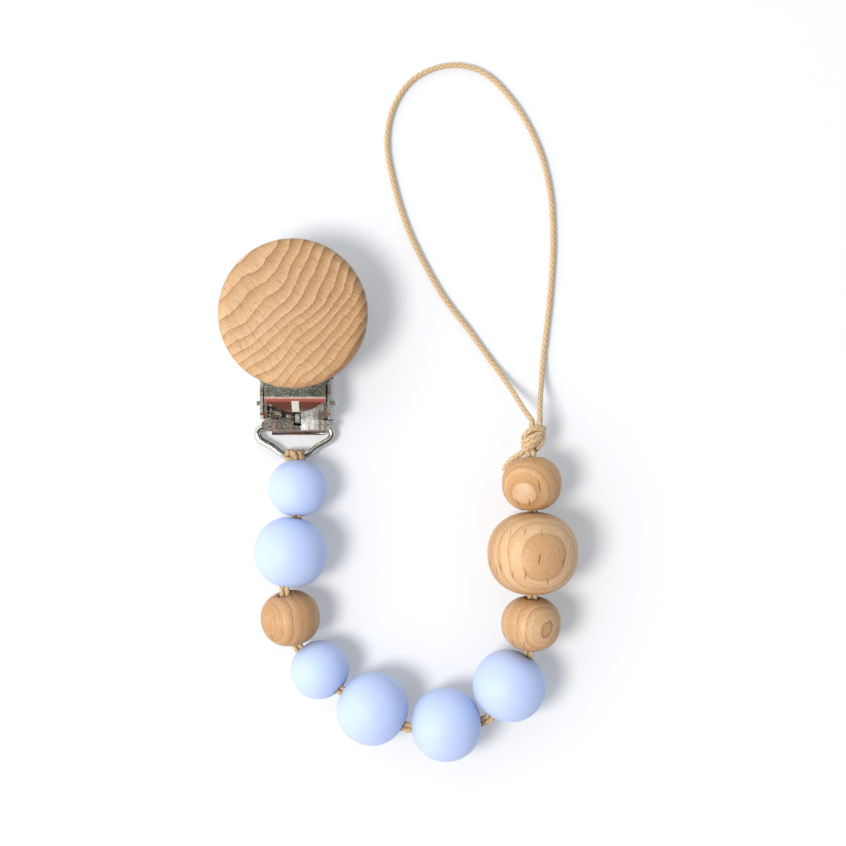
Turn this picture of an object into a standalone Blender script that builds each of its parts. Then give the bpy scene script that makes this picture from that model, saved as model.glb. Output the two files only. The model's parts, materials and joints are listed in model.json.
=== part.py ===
"""Soother clip: a wooden-faced suspender clip, a string of ten beads and a cord loop.

The clip lies on its back with the bead string laid in a U beside it. The origin is on
the clip's flat back, straight below its pivot pin. +X runs across the clip, +Y from the
pin towards the jaws, +Z up. The closed shape of every piece is its rest pose.
"""

import math

import bmesh
import bpy
from mathutils import Matrix, Vector

MM = 0.001
GAP = 0.3 * MM
# Sheets that are joined edge to edge stand this much out of line, so that no faces coincide
WELD = 0.05 * MM

# Clip body
PIN_HEIGHT = 6.0 * MM
PIN_RADIUS = 0.55 * MM
PIN_LENGTH = 16.9 * MM
PIN_HOLE = PIN_RADIUS + GAP
SHEET = 0.55 * MM
BASE_SHEET = 0.8 * MM
BASE_FRONT = 20.6 * MM
BASE_HALF_WIDTH = 6.2 * MM
BASE_EAR_OUTSIDE = 7.25 * MM
BASE_EAR_SHEET = 0.65 * MM
HEM_Y = -5.2 * MM
HEM_HEIGHT = 1.5 * MM
HEM_HALF_WIDTH = 5.5 * MM

# Lever and disc
LEVER_TOP = 8.75 * MM
LEVER_EAR_OUTSIDE = 6.3 * MM
CARRIER_HALF_WIDTH = 7.2 * MM
CARRIER_END = 27.0 * MM
LIP_REACH = -1.85 * MM
LIP_RADIUS = 8.35 * MM
LIP_SLOPE = 34
DISC_RADIUS = 15.0 * MM
DISC_THICKNESS = 6.0 * MM
DISC_Y = 18.2 * MM
DISC_BOTTOM = LEVER_TOP + GAP
SCREW_PLACES = (12.0 * MM, 24.0 * MM)
SCREW_RADIUS = 0.85 * MM
SCREW_HEAD_RADIUS = 1.75 * MM
SCREW_HOLE = 1.2 * MM

# Spring jaw
JAW_REAR = -5.55 * MM
JAW_FRONT = 18.6 * MM
WING_HALF_WIDTH = 7.4 * MM
WING_FRONT = -3.55 * MM
TONGUE_HALF_WIDTH = 5.4 * MM
RIB_X = 2.85 * MM
RIB_RADIUS = 0.6 * MM

# Wire ring
WIRE_RADIUS = 0.72 * MM
RING_CENTRE_X = -0.7 * MM
RING_BAR_DROP = 5.6 * MM
RING_BAR_HEIGHT = 1.75 * MM

# Cord: two strands of 1.2 mm side by side stand in each stretch as one round cord
CORD_RADIUS = 0.6 * MM
STRETCH_RADIUS = 0.85 * MM
STRETCH_TIP = 0.15 * MM
HITCH_X = -0.7 * MM
HITCH_RADIUS = 1.7 * MM
HITCH_HALF_WIDTH = 2.0 * MM

# String: it starts in front of the ring's bar and heads down -Y
STRING_START = Vector((0.4 * MM, -11.5 * MM, 5.1 * MM))
FIRST_HEADING = -91.0
BORE_RADIUS = 1.3 * MM

# Each bead kind: radius, half length between its flat ends
BEAD_KINDS = {
    "silicone_small": (6.0 * MM, 5.55 * MM),
    "silicone_large": (7.5 * MM, 6.95 * MM),
    "wood_small": (6.05 * MM, 5.35 * MM),
    "wood_large": (9.2 * MM, 8.3 * MM),
}

# Each bead: kind, turn of the string before it (degrees), then the free cord after it and
# the height of that cord (mm)
STRING = (
    ("silicone_small", 0, 0.7, 6.9),
    ("silicone_large", -9, 1.5, 8.1),
    ("wood_small", 21, 2.0, 5.0),
    ("silicone_small", 36, 1.0, 7.1),
    ("silicone_large", 14, 2.2, 7.9),
    ("silicone_large", 34, 3.2, 7.1),
    ("silicone_large", 54, 1.75, 7.9),
    ("wood_small", 28, 0.7, 9.5),
    ("wood_large", 3, 0.5, 8.8),
    ("wood_small", 2, 1.2, 8.2),
)
START_GAP = 0.7

# Loop: the knot, and the points that the cord passes on its way round (mm)
KNOT_CENTRE = (48.9, -6.5, 7.2)
KNOT_SIZE = (4.7, 5.6, 4.4)
LOOP_ROUTE = (
    (48.3, -3.6, 7.2),
    (46.6, -1.2, 5.7),
    (44.4, 2.3, 3.1),
    (41.6, 6.4, 1.1),
    (38.7, 10.4, 0.6),
    (35.5, 14.9, 0.6),
    (29.3, 23.2, 0.6),
    (23.1, 35.1, 0.6),
    (19.6, 46.1, 0.6),
    (18.4, 54.4, 0.6),
    (20.0, 61.6, 0.6),
    (24.3, 67.1, 0.6),
    (31.4, 69.6, 0.6),
    (38.6, 67.9, 0.6),
    (44.8, 61.6, 0.6),
    (49.4, 53.3, 0.6),
    (52.0, 44.0, 0.6),
    (52.7, 33.6, 0.6),
    (52.2, 23.2, 0.6),
    (51.2, 13.6, 0.6),
    (50.7, 9.2, 0.7),
    (50.3, 4.4, 2.2),
    (49.9, 0.0, 5.0),
    (49.8, -3.6, 7.2),
)
TAIL_ROUTE = (
    (46.5, -9.7, 7.7),
    (45.2, -10.2, 7.2),
    (44.1, -11.05, 6.7),
    (43.15, -12.2, 6.2),
    (42.55, -13.65, 5.6),
)

COLOURS = {
    "beech": ((0.72, 0.43, 0.22), 0.55, 0.0),
    "beech_dark": ((0.60, 0.34, 0.17), 0.55, 0.0),
    "silicone": ((0.58, 0.72, 0.93), 0.60, 0.0),
    "nickel": ((0.72, 0.71, 0.69), 0.22, 1.0),
    "nylon": ((0.85, 0.85, 0.82), 0.45, 0.0),
    "cord": ((0.74, 0.52, 0.28), 0.70, 0.0),
}


def clear_scene():
    for item in list(bpy.data.objects):
        bpy.data.objects.remove(item, do_unlink=True)


def new_collection(name):
    collection = bpy.data.collections.new(name)
    bpy.context.scene.collection.children.link(collection)
    return collection


def make_materials():
    made = {}
    for name, (colour, roughness, metallic) in COLOURS.items():
        material = bpy.data.materials.new(name)
        material.use_nodes = True
        shader = material.node_tree.nodes["Principled BSDF"]
        shader.inputs["Base Color"].default_value = (*colour, 1.0)
        shader.inputs["Roughness"].default_value = roughness
        shader.inputs["Metallic"].default_value = metallic
        made[name] = material
    return made


def add_object(name, data, collection):
    item = bpy.data.objects.new(name, data)
    collection.objects.link(item)
    return item


def add_bmesh(name, bm, collection):
    mesh = bpy.data.meshes.new(name)
    bm.to_mesh(mesh)
    bm.free()
    return add_object(name, mesh, collection)


def curve_to_mesh(item, collection):
    """The closed mesh of a curve object, which it replaces."""
    bpy.context.view_layer.update()
    graph = bpy.context.evaluated_depsgraph_get()
    mesh = bpy.data.meshes.new_from_object(item.evaluated_get(graph))
    bm = bmesh.new()
    bm.from_mesh(mesh)
    bmesh.ops.remove_doubles(bm, verts=bm.verts, dist=0.002 * MM)
    bm.to_mesh(mesh)
    bm.free()
    name = item.name
    place = item.matrix_world.copy()
    bpy.data.objects.remove(item, do_unlink=True)
    made = add_object(name, mesh, collection)
    made.matrix_world = place
    return made


def prism(name, outlines, thickness, facing, centre, collection):
    """A flat outline with its holes, extruded both ways from centre along facing.

    An outline's two numbers are (x, y) when facing is Z and (y, z) when facing is X.
    """
    curve = bpy.data.curves.new(name, "CURVE")
    curve.dimensions = "2D"
    curve.fill_mode = "BOTH"
    curve.extrude = thickness / 2
    for outline in outlines:
        spline = curve.splines.new("POLY")
        spline.points.add(len(outline) - 1)
        for point, (across, along) in zip(spline.points, outline):
            point.co = (across, along, 0.0, 1.0)
        spline.use_cyclic_u = True
    item = add_object(name, curve, collection)
    if facing == "X":
        turn = Matrix(((0, 0, 1), (1, 0, 0), (0, 1, 0))).to_4x4()
        item.matrix_world = Matrix.Translation((centre, 0, 0)) @ turn
    else:
        item.matrix_world = Matrix.Translation((0, 0, centre))
    return curve_to_mesh(item, collection)


def box(name, low, high, collection):
    bm = bmesh.new()
    bmesh.ops.create_cube(bm, size=1.0)
    size = [high[k] - low[k] for k in range(3)]
    middle = [(high[k] + low[k]) / 2 for k in range(3)]
    bmesh.ops.scale(bm, vec=size, verts=bm.verts)
    bmesh.ops.translate(bm, vec=middle, verts=bm.verts)
    return add_bmesh(name, bm, collection)


def turned(name, profile, steps, collection, closed=False):
    """A profile of (radius, height) points turned round local Z, top to bottom."""
    mesh = bpy.data.meshes.new(name)
    edges = [(k, k + 1) for k in range(len(profile) - 1)]
    if closed:
        edges.append((len(profile) - 1, 0))
    mesh.from_pydata([(radius, 0.0, height) for radius, height in profile], edges, [])
    item = add_object(name, mesh, collection)
    screw = item.modifiers.new("turn", "SCREW")
    screw.steps = steps
    screw.render_steps = steps
    screw.use_merge_vertices = True
    screw.merge_threshold = 0.002 * MM
    screw.use_smooth_shade = True
    return item


def tube(name, points, radius, collection, factors=None, cyclic=False):
    curve = bpy.data.curves.new(name, "CURVE")
    curve.dimensions = "3D"
    curve.bevel_depth = radius
    curve.bevel_resolution = 2
    curve.use_fill_caps = not cyclic
    spline = curve.splines.new("POLY")
    spline.points.add(len(points) - 1)
    for k, place in enumerate(points):
        spline.points[k].co = (*place, 1.0)
        spline.points[k].radius = factors[k] if factors else 1.0
    spline.use_cyclic_u = cyclic
    spline.use_smooth = True
    return add_object(name, curve, collection)


def modify(item, other, operation, collection):
    """Joins, cuts or trims a piece with another solid, which becomes a hidden guide."""
    change = item.modifiers.new(operation.lower(), "BOOLEAN")
    change.operation = operation
    change.object = other
    for users in list(other.users_collection):
        users.objects.unlink(other)
    collection.objects.link(other)
    other.hide_render = True
    other.display_type = "WIRE"


def arc(centre, radius, first, last, count):
    """Points from the first to the last angle, in degrees."""
    angles = [math.radians(first + (last - first) * k / count) for k in range(count + 1)]
    return [(centre[0] + radius * math.cos(a), centre[1] + radius * math.sin(a)) for a in angles]


def mirrored(half):
    """An outline from the half of it at x > 0."""
    return list(half) + [(-x, y) for x, y in reversed(half)]


def smooth_route(points, spacing, cyclic=False):
    """Evenly spaced points on a smooth curve through the given ones."""
    points = [Vector(place) for place in points]
    count = len(points)
    dense = []
    spans = count if cyclic else count - 1
    for k in range(spans):
        b, c = points[k], points[(k + 1) % count]
        a = points[k - 1] if cyclic or k > 0 else b * 2 - c
        d = points[(k + 2) % count] if cyclic or k + 2 < count else c * 2 - b
        for step in range(24):
            t = step / 24
            dense.append(
                0.5
                * (
                    2 * b
                    + (c - a) * t
                    + (2 * a - 5 * b + 4 * c - d) * t**2
                    + (3 * b - a - 3 * c + d) * t**3
                )
            )
    dense.append(points[0] if cyclic else points[-1])
    lengths = [0.0]
    for first, second in zip(dense, dense[1:]):
        lengths.append(lengths[-1] + (second - first).length)
    pieces = max(2, round(lengths[-1] / spacing))
    wanted = [lengths[-1] * k / pieces for k in range(pieces + (0 if cyclic else 1))]
    found, k = [], 0
    for distance in wanted:
        while k < len(lengths) - 2 and lengths[k + 1] < distance:
            k += 1
        share = (distance - lengths[k]) / max(lengths[k + 1] - lengths[k], 1e-12)
        found.append(dense[k].lerp(dense[k + 1], share))
    return found


def along(direction):
    """The rotation that carries local Z onto a direction."""
    return Vector(direction).to_track_quat("Z", "Y").to_matrix().to_4x4()


def in_metres(points):
    return [Vector(place) * MM for place in points]


# Clip


def make_base_plate(parts, guides):
    rear = HEM_Y + 0.8 * MM
    half = [
        (HEM_HALF_WIDTH, rear),
        (HEM_HALF_WIDTH, -4.0 * MM),
        (BASE_EAR_OUTSIDE - WELD, -3.6 * MM),
        (BASE_EAR_OUTSIDE - WELD, 5.3 * MM),
        (BASE_HALF_WIDTH, 6.7 * MM),
        (BASE_HALF_WIDTH, BASE_FRONT - 1.5 * MM),
        (BASE_HALF_WIDTH - 1.5 * MM, BASE_FRONT),
    ]
    plate = prism("base_plate", [mirrored(half)], BASE_SHEET, "Z", BASE_SHEET / 2, parts)

    roll_centre = (HEM_Y, HEM_HEIGHT)
    inside = WIRE_RADIUS + GAP
    first, last = -38, -290
    roll = arc(roll_centre, HEM_HEIGHT, first, last, 16) + arc(roll_centre, inside, last, first, 16)
    hem = prism("hem_roll", [roll], 2 * HEM_HALF_WIDTH - 0.2 * MM, "X", 0, parts)
    modify(plate, hem, "UNION", guides)

    low = BASE_SHEET / 2
    ear = (
        [(5.0 * MM, low), (5.0 * MM, 5.4 * MM), (3.6 * MM, 7.7 * MM)]
        + arc((1.6 * MM, 6.8 * MM), 1.3 * MM, 60, 90, 2)
        + arc((-1.2 * MM, 6.0 * MM), 2.1 * MM, 90, 180, 5)
        + [(-3.3 * MM, low)]
    )
    hole = arc((0, PIN_HEIGHT), PIN_HOLE, 0, -337.5, 15)
    for side, name in ((-1, "base_ear_left"), (1, "base_ear_right")):
        centre = side * (BASE_EAR_OUTSIDE - BASE_EAR_SHEET / 2)
        wall = prism(name, [ear, hole], BASE_EAR_SHEET, "X", centre, parts)
        modify(plate, wall, "UNION", guides)

    lip_end = BASE_HALF_WIDTH - 1.6 * MM
    lip_front = BASE_FRONT - WELD
    lip = box("front_lip", (-lip_end, lip_front - SHEET, low), (lip_end, lip_front, 1.9 * MM), parts)
    modify(plate, lip, "UNION", guides)
    tab = box("keeper_tab", (-0.45 * MM, -4.0 * MM, low), (0.45 * MM, -2.3 * MM, 3.95 * MM), parts)
    modify(plate, tab, "UNION", guides)
    return plate


def make_jaw_pad(parts):
    rear, front = 13.4 * MM, 19.6 * MM
    low, flat, crest = BASE_SHEET + GAP, 1.65 * MM, 2.05 * MM
    ridges = 5
    pitch = (front - rear) / ridges
    outline = [(rear, low), (front, low)]
    for k in range(ridges):
        edge = front - k * pitch
        outline += [(edge, flat), (edge - pitch / 2, crest)]
    outline.append((rear, flat))
    return prism("jaw_pad", [outline], 11.2 * MM, "X", 0, parts)


def make_pivot_pin(parts):
    end, tip = PIN_LENGTH / 2, 0.4 * MM
    profile = [(0.0, end), (0.3 * MM, end - 0.08 * MM), (PIN_RADIUS, end - tip)]
    profile += [(PIN_RADIUS, tip - end), (0.3 * MM, 0.08 * MM - end), (0.0, -end)]
    pin = turned("pivot_pin", profile, 16, parts)
    pin.matrix_world = Matrix.Translation((0, 0, PIN_HEIGHT)) @ along((1, 0, 0))
    return pin


def make_lever(parts, guides):
    """The carrier under the disc, its ears on the pin and the bent lip between them."""
    half = [
        (LEVER_EAR_OUTSIDE - WELD, 1.2 * MM),
        (LEVER_EAR_OUTSIDE - WELD, 3.6 * MM),
        (CARRIER_HALF_WIDTH, 4.6 * MM),
        (CARRIER_HALF_WIDTH, CARRIER_END - 3 * MM),
        (CARRIER_HALF_WIDTH - 3 * MM, CARRIER_END),
    ]
    holes = [arc((0, y), SCREW_HOLE, 0, -330, 11) for y in SCREW_PLACES]
    height = LEVER_TOP - WELD - SHEET / 2
    lever = prism("lever_plate", [mirrored(half), *holes], SHEET, "Z", height, parts)

    bend = 1.3 * MM
    centre = (1.5 * MM, LEVER_TOP - bend)
    drop = 3.9 * MM
    heading = math.radians(180 + LIP_SLOPE)
    outer = arc(centre, bend, 90, 90 + LIP_SLOPE, 5)
    inner = arc(centre, bend - SHEET, 90 + LIP_SLOPE, 90, 5)
    down = (drop * math.cos(heading), drop * math.sin(heading))
    foot = [(x + down[0], y + down[1]) for x, y in (outer[-1], inner[0])]
    lip = prism("lever_lip", [outer + foot + inner], 11.8 * MM, "X", 0, parts)
    reach = 4 * MM
    edge = [(0, reach), (LIP_RADIUS, reach), (LIP_RADIUS, -reach), (0, -reach)]
    trim = turned("lip_outline", edge, 96, parts)
    trim.location = (0, LIP_REACH + LIP_RADIUS, 6.0 * MM)
    modify(lip, trim, "INTERSECT", guides)
    modify(lever, lip, "UNION", guides)

    ear = (
        [(5.2 * MM, LEVER_TOP - 0.1 * MM), (5.2 * MM, 7.4 * MM), (3.2 * MM, 4.9 * MM)]
        + arc((0, PIN_HEIGHT), 2.4 * MM, -50, -120, 4)
        + [(-2.9 * MM, 5.6 * MM), (-3.0 * MM, 7.2 * MM), (-1.7 * MM, 8.1 * MM)]
        + [(1.4 * MM, LEVER_TOP - 0.1 * MM)]
    )
    hole = arc((0, PIN_HEIGHT), PIN_HOLE, 0, -337.5, 15)
    for side, name in ((-1, "lever_ear_left"), (1, "lever_ear_right")):
        centre = side * (LEVER_EAR_OUTSIDE - SHEET / 2)
        wall = prism(name, [ear, hole], SHEET, "X", centre, parts)
        modify(lever, wall, "UNION", guides)
    return lever


def make_disc(parts, guides):
    half = DISC_THICKNESS / 2
    top, bottom = 1.9 * MM, 1.0 * MM
    profile = [(0.0, half)]
    profile += arc((DISC_RADIUS - top, half - top), top, 90, 0, 6)
    profile += arc((DISC_RADIUS - bottom, bottom - half), bottom, 0, -90, 4)
    profile.append((0.0, -half))
    disc = turned("wood_disc", profile, 64, parts)
    disc.location = (0, DISC_Y, DISC_BOTTOM + half)
    depth = 4.4 * MM
    for k, y in enumerate(SCREW_PLACES):
        edge = [(0, depth), (SCREW_HOLE, depth), (SCREW_HOLE, -MM), (0, -MM)]
        drill = turned(f"screw_drill_{k + 1}", edge, 12, parts)
        drill.location = (0, y, DISC_BOTTOM)
        modify(disc, drill, "DIFFERENCE", guides)
    return disc


def make_disc_screws(parts):
    head_top = -(SHEET + GAP)
    profile = [
        (0.0, 4.0 * MM),
        (0.45 * MM, 3.4 * MM),
        (SCREW_RADIUS, 2.6 * MM),
        (SCREW_RADIUS, head_top),
        (SCREW_HEAD_RADIUS, head_top),
        (SCREW_HEAD_RADIUS, head_top - 0.35 * MM),
        (1.1 * MM, head_top - 0.85 * MM),
        (0.0, head_top - 0.95 * MM),
    ]
    made = []
    for y, name in zip(SCREW_PLACES, ("disc_screw_near", "disc_screw_far")):
        screw = turned(name, profile, 14, parts)
        screw.location = (0, y, LEVER_TOP)
        made.append(screw)
    return made


def make_spring_jaw(parts, guides):
    """A sprung tongue with wings at its rear, pressed ribs, a keeper slot and front teeth."""
    mid = [(JAW_REAR, 3.48), (-3.4 * MM, 3.44), (-1.4 * MM, 3.02), (0.5 * MM, 2.9), (17.4 * MM, 2.95)]
    mid = [(y, z * MM) for y, z in mid]
    upper = [(y, z + SHEET / 2) for y, z in mid]
    lower = [(y, z - SHEET / 2) for y, z in mid]
    front = [(JAW_FRONT, 2.75 * MM), (JAW_FRONT, 2.36 * MM), (JAW_FRONT - SHEET, 2.36 * MM)]
    outline = lower + front[::-1] + upper[::-1]
    jaw = prism("spring_jaw", [outline], 2 * WING_HALF_WIDTH, "X", 0, parts)

    corner = 0.85 * MM
    wing_end = WING_HALF_WIDTH - corner
    half = arc((wing_end, JAW_REAR + corner), corner, -90, 0, 5)
    half += arc((wing_end, WING_FRONT - corner), corner, 0, 90, 5)
    half += [(TONGUE_HALF_WIDTH, WING_FRONT), (TONGUE_HALF_WIDTH, JAW_FRONT + MM)]
    plan = prism("jaw_plan", [mirrored(half)], 8 * MM, "Z", 3 * MM, parts)
    modify(jaw, plan, "INTERSECT", guides)
    slot = box("keeper_slot", (-0.8 * MM, -4.75 * MM, 2 * MM), (0.8 * MM, -1.7 * MM, 5 * MM), parts)
    modify(jaw, slot, "DIFFERENCE", guides)
    notches = 6
    pitch = 2 * TONGUE_HALF_WIDTH / notches
    for k in range(notches - 1):
        x = (k + 1) * pitch - TONGUE_HALF_WIDTH
        low = (x - 0.45 * MM, JAW_FRONT - 0.75 * MM, 2 * MM)
        high = (x + 0.45 * MM, JAW_FRONT + MM, 2.62 * MM)
        modify(jaw, box(f"tooth_cut_{k + 1}", low, high, parts), "DIFFERENCE", guides)
    for side in (-1, 1):
        start = Vector((side * RIB_X, -3.1 * MM, 3.38 * MM))
        end = Vector((side * RIB_X, 12.0 * MM, 2.86 * MM))
        turn = end + (start - end) * 0.87
        turn.z = 2.98 * MM
        rib = tube(f"jaw_rib_{side + 1}", [start, turn, end], RIB_RADIUS, parts)
        modify(jaw, curve_to_mesh(rib, parts), "UNION", guides)
    return jaw


def ring_route():
    """The wire's centre line, laid flat from the hem's axis towards -Y."""
    half = [
        (0.0, 0.0),
        (3.5, 0.0),
        (6.1, 0.0),
        (7.35, -0.35),
        (7.75, -1.3),
        (7.25, -2.4),
        (6.1, -3.15),
        (4.5, -4.05),
        (3.1, -5.15),
        (1.9, -RING_BAR_DROP / MM),
        (0.0, -RING_BAR_DROP / MM),
    ]
    outline = half + [(-x, y) for x, y in reversed(half[1:-1])]
    rise = (RING_BAR_HEIGHT - HEM_HEIGHT) / RING_BAR_DROP
    return [
        Vector((RING_CENTRE_X + x * MM, HEM_Y + y * MM, HEM_HEIGHT - y * MM * rise))
        for x, y in outline
    ]


def make_wire_ring(parts):
    return tube("wire_ring", smooth_route(ring_route(), 1.1 * MM, True), WIRE_RADIUS, parts, cyclic=True)


# String


def string_layout():
    """Each bead's centre, direction and kind, and the bend points between the beads."""
    heading = math.radians(FIRST_HEADING)
    bends = [STRING_START.copy()]
    beads = []
    gap = START_GAP * MM
    for kind, turn, next_gap, next_height in STRING:
        heading += math.radians(turn)
        half = BEAD_KINDS[kind][1]
        ahead = Vector((math.cos(heading), math.sin(heading), 0.0))
        end = bends[-1] + ahead * (gap / 2 + 2 * half + next_gap * MM / 2)
        end.z = next_height * MM
        direction = (end - bends[-1]).normalized()
        share = (gap / 2 + half) / (gap / 2 + 2 * half + next_gap * MM / 2)
        beads.append((bends[-1].lerp(end, share), direction, kind))
        bends.append(end)
        gap = next_gap * MM
    return beads, bends


def bead_profile(kind):
    radius, half = BEAD_KINDS[kind]
    chamfer = 0.35 * MM
    edge = math.degrees(math.asin(half / radius))
    steps = 8
    outer = arc((0, 0), radius, edge, -edge, steps)
    top = [(BORE_RADIUS, half - chamfer), (BORE_RADIUS + chamfer, half)]
    bottom = [(BORE_RADIUS + chamfer, -half), (BORE_RADIUS, chamfer - half)]
    return top + outer + bottom


def make_beads(beads, parts):
    made = []
    for k, (centre, direction, kind) in enumerate(beads):
        bead = turned(f"bead_{k + 1:02d}_{kind}", bead_profile(kind), 22, parts, closed=True)
        bead.matrix_world = Matrix.Translation(centre) @ along(direction)
        made.append((bead, kind))
    return made


def make_stretches(bends, parts):
    """The cord inside each bead, pointed at both ends so that the string can bend."""
    made = []
    tips = (STRETCH_TIP, 0.5 * MM, STRETCH_RADIUS + 0.1 * MM)
    for k, (first, second) in enumerate(zip(bends, bends[1:])):
        length = (second - first).length
        ahead = (second - first) / length
        distances = [*tips, length / 2, *(length - d for d in reversed(tips))]
        points = [first + ahead * d for d in distances]
        factors = [min(1.0, min(d, length - d) / STRETCH_RADIUS) for d in distances]
        made.append(tube(f"cord_{k + 1:02d}", points, STRETCH_RADIUS, parts, factors))
    return made


def make_hitch(bends, parts, guides):
    """The cord's turns round the ring's bar, with the neck that rises to the first bead."""
    inside = WIRE_RADIUS + GAP
    profile = [
        (inside, HITCH_HALF_WIDTH),
        (HITCH_RADIUS - 0.3 * MM, HITCH_HALF_WIDTH),
        (HITCH_RADIUS, HITCH_HALF_WIDTH - 0.3 * MM),
        (HITCH_RADIUS, 0.3 * MM - HITCH_HALF_WIDTH),
        (HITCH_RADIUS - 0.3 * MM, -HITCH_HALF_WIDTH),
        (inside, -HITCH_HALF_WIDTH),
    ]
    bar = Vector((HITCH_X, HEM_Y - RING_BAR_DROP, RING_BAR_HEIGHT))
    hitch = turned("cord_hitch", profile, 18, parts, closed=True)
    hitch.matrix_world = Matrix.Translation(bar) @ along((1, 0, 0))
    start = bends[0]
    neck = [
        Vector((-0.1 * MM, bar.y - 0.05 * MM, bar.z + 1.35 * MM)),
        Vector((0.15 * MM, bar.y + 0.05 * MM, start.z - 1.2 * MM)),
        Vector((0.3 * MM, bar.y - 0.02 * MM, start.z - 0.45 * MM)),
        start + Vector((0, 0.14 * MM, -0.04 * MM)),
    ]
    solid = tube("cord_neck", neck, 0.62 * MM, parts, [1, 1, 1, 0.25])
    modify(hitch, curve_to_mesh(solid, parts), "UNION", guides)
    return hitch


def make_knot(parts):
    bm = bmesh.new()
    bmesh.ops.create_uvsphere(bm, u_segments=14, v_segments=9, radius=0.5)
    bmesh.ops.scale(bm, vec=Vector(KNOT_SIZE) * MM, verts=bm.verts)
    knot = add_bmesh("cord_knot", bm, parts)
    knot.location = Vector(KNOT_CENTRE) * MM
    knot.rotation_euler = (math.radians(-8), 0, math.radians(-14))
    return knot


def make_loop(parts):
    return tube("loop_cord", smooth_route(in_metres(LOOP_ROUTE), 2.6 * MM), CORD_RADIUS, parts)


def make_tail(parts):
    return tube("cord_tail", smooth_route(in_metres(TAIL_ROUTE), 0.9 * MM), CORD_RADIUS, parts)


def main():
    clear_scene()
    parts = new_collection("soother_clip")
    guides = new_collection("guides")
    materials = make_materials()

    def paint(item, name):
        item.data.materials.clear()
        item.data.materials.append(materials[name])

    paint(make_base_plate(parts, guides), "nickel")
    paint(make_jaw_pad(parts), "nylon")
    paint(make_pivot_pin(parts), "nickel")
    paint(make_lever(parts, guides), "nickel")
    paint(make_disc(parts, guides), "beech")
    for screw in make_disc_screws(parts):
        paint(screw, "nickel")
    paint(make_spring_jaw(parts, guides), "nickel")
    paint(make_wire_ring(parts), "nickel")

    beads, bends = string_layout()
    paint(make_hitch(bends, parts, guides), "cord")
    for stretch in make_stretches(bends, parts):
        paint(stretch, "cord")
    for bead, kind in make_beads(beads, parts):
        paint(bead, "silicone" if kind.startswith("silicone") else "beech_dark")
    for cord in (make_knot(parts), make_tail(parts), make_loop(parts)):
        paint(cord, "cord")


main()
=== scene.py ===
"""Soother clip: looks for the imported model. Metres, in the model's own frame."""

import json
import math

import bmesh
import bpy
from mathutils import Matrix, Vector


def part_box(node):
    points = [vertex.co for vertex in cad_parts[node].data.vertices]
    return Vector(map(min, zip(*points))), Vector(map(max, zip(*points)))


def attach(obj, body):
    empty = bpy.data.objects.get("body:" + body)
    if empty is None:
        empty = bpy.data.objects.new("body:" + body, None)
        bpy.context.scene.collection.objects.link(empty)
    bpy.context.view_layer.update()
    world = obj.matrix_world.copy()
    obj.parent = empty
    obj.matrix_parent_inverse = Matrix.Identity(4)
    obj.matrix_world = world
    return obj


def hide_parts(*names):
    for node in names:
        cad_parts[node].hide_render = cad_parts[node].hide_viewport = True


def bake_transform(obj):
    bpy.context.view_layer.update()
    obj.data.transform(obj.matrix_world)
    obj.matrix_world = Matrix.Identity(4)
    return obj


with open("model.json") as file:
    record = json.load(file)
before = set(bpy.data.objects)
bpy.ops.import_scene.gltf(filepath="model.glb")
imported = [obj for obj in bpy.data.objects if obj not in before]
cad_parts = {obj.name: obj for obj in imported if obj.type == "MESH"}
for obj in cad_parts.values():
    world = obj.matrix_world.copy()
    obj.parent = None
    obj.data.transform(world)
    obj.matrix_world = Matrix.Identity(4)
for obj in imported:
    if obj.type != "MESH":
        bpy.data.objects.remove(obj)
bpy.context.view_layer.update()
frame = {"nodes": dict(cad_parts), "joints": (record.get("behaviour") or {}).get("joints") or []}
MM = 0.001
JOINTS = {joint["name"]: joint for joint in frame["joints"]}
NODES = frame["nodes"]

# The photograph's view: almost straight down, from above the middle of the U
CAMERA_PLACE = Vector((0.03677, 0.00696, 0.378))
CAMERA_AIM = Vector((0.02581, -0.00419, 0.0))
CAMERA_LENS = 77.48

WORLD_STRENGTH = 1.44
KEY_LIGHT = dict(
    place=(-0.46, -0.17, 1.0), aim=(0.02, 0.0, 0.0),
    size=0.42, power=11.9, colour=(1.0, 0.975, 0.94),
)

CORD_RADIUS = 0.6 * MM
BRAID_PITCH = 1.25 * MM
BRAID_COLUMNS = 8
BRAID_RELIEF = 0.14
STRAND_OFFSET = 0.55 * MM
BORE_RADIUS = 1.3 * MM
WIRE_RADIUS = 0.72 * MM
WIRE_SIDES = 20
BEAD_STEPS = 96
DISC_STEPS = 160

# Each bead kind: radius, half length between its flat ends
BEAD_KINDS = {
    "silicone_small": (6.05 * MM, 5.61 * MM),
    "silicone_large": (7.5 * MM, 7.04 * MM),
    "wood_small": (6.05 * MM, 5.35 * MM),
    "wood_large": (9.2 * MM, 8.3 * MM),
}

# The free cord's route, from the knot round to the knot again
LOOP_ROUTE = (
    (0.0483, -0.0036, 0.0072),
    (0.0466, -0.0012, 0.0057),
    (0.0444, 0.0023, 0.0031),
    (0.0416, 0.0064, 0.0011),
    (0.0387, 0.0104, 0.0006),
    (0.0355, 0.0149, 0.0006),
    (0.0293, 0.0232, 0.0006),
    (0.0231, 0.0351, 0.0006),
    (0.0196, 0.0461, 0.0006),
    (0.0184, 0.0544, 0.0006),
    (0.0200, 0.0616, 0.0006),
    (0.0243, 0.0671, 0.0006),
    (0.0314, 0.0696, 0.0006),
    (0.0386, 0.0679, 0.0006),
    (0.0448, 0.0616, 0.0006),
    (0.0494, 0.0533, 0.0006),
    (0.0520, 0.0440, 0.0006),
    (0.0527, 0.0336, 0.0006),
    (0.0522, 0.0232, 0.0006),
    (0.0512, 0.0136, 0.0006),
    (0.0507, 0.0092, 0.0007),
    (0.0503, 0.0044, 0.0022),
    (0.0499, 0.0000, 0.0050),
    (0.0498, -0.0036, 0.0072),
)
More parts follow.
